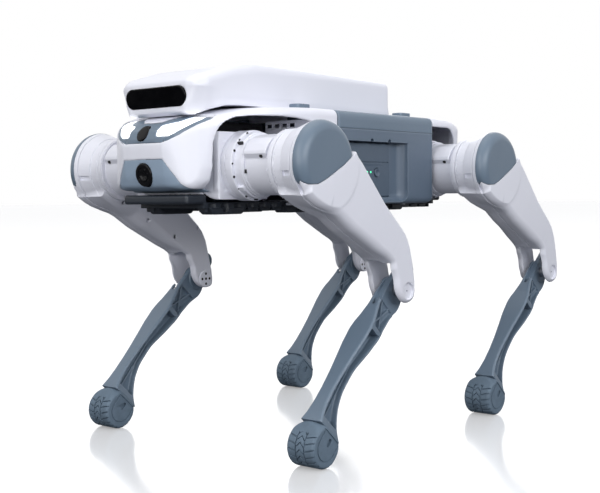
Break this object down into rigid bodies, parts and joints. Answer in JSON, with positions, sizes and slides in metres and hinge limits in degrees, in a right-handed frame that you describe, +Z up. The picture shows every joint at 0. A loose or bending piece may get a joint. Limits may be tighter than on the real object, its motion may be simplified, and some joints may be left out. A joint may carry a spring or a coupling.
{
  "type": "quadruped robot",
  "caption": "Four-legged walking robot with a sensor head, a side-loading battery, an instrument box on the back and linkage-driven knees.",
  "frame": {"origin": "on the floor under the middle of the standing robot's outline", "axes": "+X forwards to the head, +Y to the robot's left, +Z up"},
  "size_m": [0.6156, 0.37, 0.429],
  "materials": {
    "white_shell": "satin",
    "slate_shell": "satin",
    "dark_frame": "matt",
    "rubber": "matt",
    "lens_black": "gloss",
    "lamp": "gloss",
    "actuator_shell": "powder coat",
    "steel": "brushed"
  },
  "bodies": {
    "torso": {"chassis": "dark_frame", "hip_roll_motors": "actuator_shell", "head_shell": "white_shell", "face_trim": "slate_shell", "headlights": "lamp", "cameras": "lens_black", "chin_bumper": "slate_shell", "battery_bay": "slate_shell", "rear_shell": "white_shell", "top_box": "white_shell", "depth_window": "lens_black", "top_pads": "slate_shell", "belly_pads": "rubber", "body_screws": "steel"},
    "battery": {"battery_pack": "slate_shell"},
    "power_button": {"power_button": "slate_shell"},
    "hip_fl": {"hip_link_fl": "actuator_shell", "hip_pitch_motor_fl": "actuator_shell"},
    "thigh_fl": {"thigh_inner_fl": "white_shell", "thigh_outer_fl": "white_shell", "hip_cap_fl": "slate_shell", "knee_motor_fl": "actuator_shell", "knee_axle_fl": "steel"},
    "shank_fl": {"shank_fl": "slate_shell", "foot_fl": "rubber"},
    "crank_fl": {"knee_crank_fl": "steel"},
    "rod_fl": {"knee_rod_fl": "steel"},
    "hip_fr": {"hip_link_fr": "actuator_shell", "hip_pitch_motor_fr": "actuator_shell"},
    "thigh_fr": {"thigh_inner_fr": "white_shell", "thigh_outer_fr": "white_shell", "hip_cap_fr": "slate_shell", "knee_motor_fr": "actuator_shell", "knee_axle_fr": "steel"},
    "shank_fr": {"shank_fr": "slate_shell", "foot_fr": "rubber"},
    "crank_fr": {"knee_crank_fr": "steel"},
    "rod_fr": {"knee_rod_fr": "steel"},
    "hip_hl": {"hip_link_hl": "actuator_shell", "hip_pitch_motor_hl": "actuator_shell"},
    "thigh_hl": {"thigh_inner_hl": "white_shell", "thigh_outer_hl": "white_shell", "hip_cap_hl": "slate_shell", "knee_motor_hl": "actuator_shell", "knee_axle_hl": "steel"},
    "shank_hl": {"shank_hl": "slate_shell", "foot_hl": "rubber"},
    "crank_hl": {"knee_crank_hl": "steel"},
    "rod_hl": {"knee_rod_hl": "steel"},
    "hip_hr": {"hip_link_hr": "actuator_shell", "hip_pitch_motor_hr": "actuator_shell"},
    "thigh_hr": {"thigh_inner_hr": "white_shell", "thigh_outer_hr": "white_shell", "hip_cap_hr": "slate_shell", "knee_motor_hr": "actuator_shell", "knee_axle_hr": "steel"},
    "shank_hr": {"shank_hr": "slate_shell", "foot_hr": "rubber"},
    "crank_hr": {"knee_crank_hr": "steel"},
    "rod_hr": {"knee_rod_hr": "steel"}
  },
  "joints": [
    {"name": "battery_slide", "type": "slide", "parent": "torso", "child": "battery", "axis": [0, 1, 0], "range_m": [0, 0.15]},
    {"name": "power_button_press", "type": "slide", "parent": "battery", "child": "power_button", "axis": [0, -1, 0], "range_m": [0, 0.0012], "stiffness_N_per_m": 600, "springref_m": -0.001},
    {"name": "hip_roll_fl", "type": "hinge", "parent": "torso", "child": "hip_fl", "pos_m": [0.2148, 0.062, 0.315], "axis": [1, 0, 0], "range_deg": [-24, 24]},
    {"name": "hip_pitch_fl", "type": "hinge", "parent": "hip_fl", "child": "thigh_fl", "pos_m": [0.2148, 0.1605, 0.315], "axis": [0, 1, 0], "range_deg": [-63, 78]},
    {"name": "knee_fl", "type": "hinge", "parent": "thigh_fl", "child": "shank_fl", "pos_m": [0.07289, 0.1605, 0.17407], "axis": [0, -1, 0], "range_deg": [-54, 67]},
    {"name": "knee_crank_fl", "type": "hinge", "parent": "thigh_fl", "child": "crank_fl", "pos_m": [0.2148, 0.1735, 0.315], "axis": [0, -1, 0], "range_deg": [-54, 67]},
    {"name": "rod_pivot_fl", "type": "hinge", "parent": "crank_fl", "child": "rod_fl", "pos_m": [0.19411, 0.168, 0.33672], "axis": [0, -1, 0], "range_deg": [-67, 54]},
    {"name": "hip_roll_fr", "type": "hinge", "parent": "torso", "child": "hip_fr", "pos_m": [0.2148, -0.062, 0.315], "axis": [1, 0, 0], "range_deg": [-24, 24]},
    {"name": "hip_pitch_fr", "type": "hinge", "parent": "hip_fr", "child": "thigh_fr", "pos_m": [0.2148, -0.1605, 0.315], "axis": [0, 1, 0], "range_deg": [-63, 78]},
    {"name": "knee_fr", "type": "hinge", "parent": "thigh_fr", "child": "shank_fr", "pos_m": [0.07289, -0.1605, 0.17407], "axis": [0, -1, 0], "range_deg": [-54, 67]},
    {"name": "knee_crank_fr", "type": "hinge", "parent": "thigh_fr", "child": "crank_fr", "pos_m": [0.2148, -0.1735, 0.315], "axis": [0, -1, 0], "range_deg": [-54, 67]},
    {"name": "rod_pivot_fr", "type": "hinge", "parent": "crank_fr", "child": "rod_fr", "pos_m": [0.19411, -0.168, 0.33672], "axis": [0, -1, 0], "range_deg": [-67, 54]},
    {"name": "hip_roll_hl", "type": "hinge", "parent": "torso", "child": "hip_hl", "pos_m": [-0.1342, 0.062, 0.315], "axis": [1, 0, 0], "range_deg": [-24, 24]},
    {"name": "hip_pitch_hl", "type": "hinge", "parent": "hip_hl", "child": "thigh_hl", "pos_m": [-0.1342, 0.1605, 0.315], "axis": [0, 1, 0], "range_deg": [-42, 108]},
    {"name": "knee_hl", "type": "hinge", "parent": "thigh_hl", "child": "shank_hl", "pos_m": [-0.27611, 0.1605, 0.17407], "axis": [0, -1, 0], "range_deg": [-54, 67]},
    {"name": "knee_crank_hl", "type": "hinge", "parent": "thigh_hl", "child": "crank_hl", "pos_m": [-0.1342, 0.1735, 0.315], "axis": [0, -1, 0], "range_deg": [-54, 67]},
    {"name": "rod_pivot_hl", "type": "hinge", "parent": "crank_hl", "child": "rod_hl", "pos_m": [-0.15489, 0.168, 0.33672], "axis": [0, -1, 0], "range_deg": [-67, 54]},
    {"name": "hip_roll_hr", "type": "hinge", "parent": "torso", "child": "hip_hr", "pos_m": [-0.1342, -0.062, 0.315], "axis": [1, 0, 0], "range_deg": [-24, 24]},
    {"name": "hip_pitch_hr", "type": "hinge", "parent": "hip_hr", "child": "thigh_hr", "pos_m": [-0.1342, -0.1605, 0.315], "axis": [0, 1, 0], "range_deg": [-42, 108]},
    {"name": "knee_hr", "type": "hinge", "parent": "thigh_hr", "child": "shank_hr", "pos_m": [-0.27611, -0.1605, 0.17407], "axis": [0, -1, 0], "range_deg": [-54, 67]},
    {"name": "knee_crank_hr", "type": "hinge", "parent": "thigh_hr", "child": "crank_hr", "pos_m": [-0.1342, -0.1735, 0.315], "axis": [0, -1, 0], "range_deg": [-54, 67]},
    {"name": "rod_pivot_hr", "type": "hinge", "parent": "crank_hr", "child": "rod_hr", "pos_m": [-0.15489, -0.168, 0.33672], "axis": [0, -1, 0], "range_deg": [-67, 54]}
  ],
  "couplings": [
    {"joint": "knee_crank_fl", "follows": "knee_fl", "ratio": 1},
    {"joint": "rod_pivot_fl", "follows": "knee_fl", "ratio": -1},
    {"joint": "knee_crank_fr", "follows": "knee_fr", "ratio": 1},
    {"joint": "rod_pivot_fr", "follows": "knee_fr", "ratio": -1},
    {"joint": "knee_crank_hl", "follows": "knee_hl", "ratio": 1},
    {"joint": "rod_pivot_hl", "follows": "knee_hl", "ratio": -1},
    {"joint": "knee_crank_hr", "follows": "knee_hr", "ratio": 1},
    {"joint": "rod_pivot_hr", "follows": "knee_hr", "ratio": -1}
  ]
}
